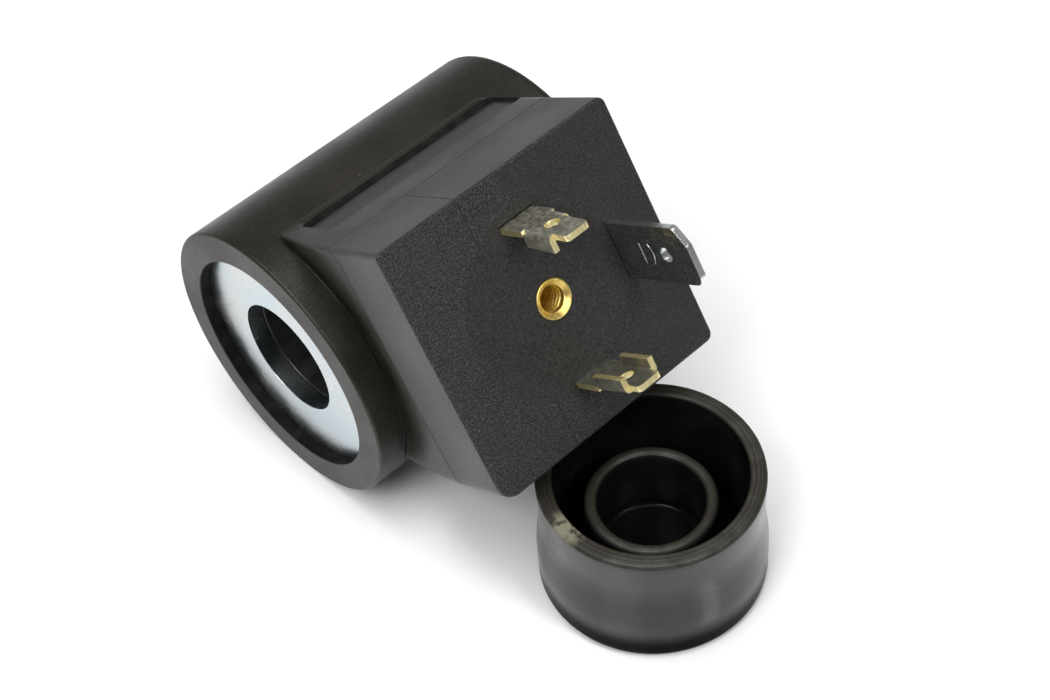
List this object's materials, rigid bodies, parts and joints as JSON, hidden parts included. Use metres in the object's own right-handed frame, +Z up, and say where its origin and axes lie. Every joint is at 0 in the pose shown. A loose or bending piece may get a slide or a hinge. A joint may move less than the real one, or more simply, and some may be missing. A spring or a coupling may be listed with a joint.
{
  "type": "solenoid valve coil with retaining cap",
  "caption": "Moulded cylindrical solenoid coil with through bore, steel pole washers and a square three-blade plug connector, leaning on its loose round retaining cap.",
  "frame": {"origin": "on the surface that the set rests on, under the middle of its bounding box", "axes": "+X along the coil's bore from its open end to its far end, +Z up, -Y from the coil towards the cap; the connector face leans back and looks along -Y and +Z, 31.7 degrees above the horizontal"},
  "size_m": [0.0368, 0.065, 0.0441],
  "materials": {
    "moulded_body": "satin black overmoulding",
    "connector_plastic": "fine spark-eroded black",
    "cap_plastic": "glossy black, matt at the rim",
    "zinc_plate": "bright zinc plating",
    "tube_steel": "bare drawn steel",
    "bobbin_nylon": "smooth glass-filled nylon",
    "copper_wire": "enamelled copper",
    "winding_tape": "polyester tape",
    "tinned_brass": "tinned, brass showing at the cut edges",
    "earth_steel": "bright zinc plating",
    "insert_brass": "turned brass",
    "solder": "smooth solder",
    "sleeving": "varnished woven sleeving"
  },
  "bodies": {
    "coil": {"coil_encapsulation": "moulded_body", "connector_head": "connector_plastic", "near_pole_washer": "zinc_plate", "far_pole_washer": "zinc_plate", "flux_tube": "tube_steel", "bobbin": "bobbin_nylon", "winding": "copper_wire", "winding_tape": "winding_tape", "upper_contact_terminal": "tinned_brass", "lower_contact_terminal": "tinned_brass", "earth_terminal": "earth_steel", "earth_strap": "tube_steel", "threaded_insert": "insert_brass", "upper_lead_wire": "copper_wire", "lower_lead_wire": "copper_wire", "upper_lead_sleeve": "sleeving", "lower_lead_sleeve": "sleeving", "upper_solder_joint": "solder", "lower_solder_joint": "solder"},
    "cap": {"retaining_cap": "cap_plastic"}
  },
  "joints": [
    {"name": "cap_slide", "type": "slide", "parent": "coil", "child": "cap", "axis": [0, -1, 0], "range_m": [0, 0.03]}
  ]
}
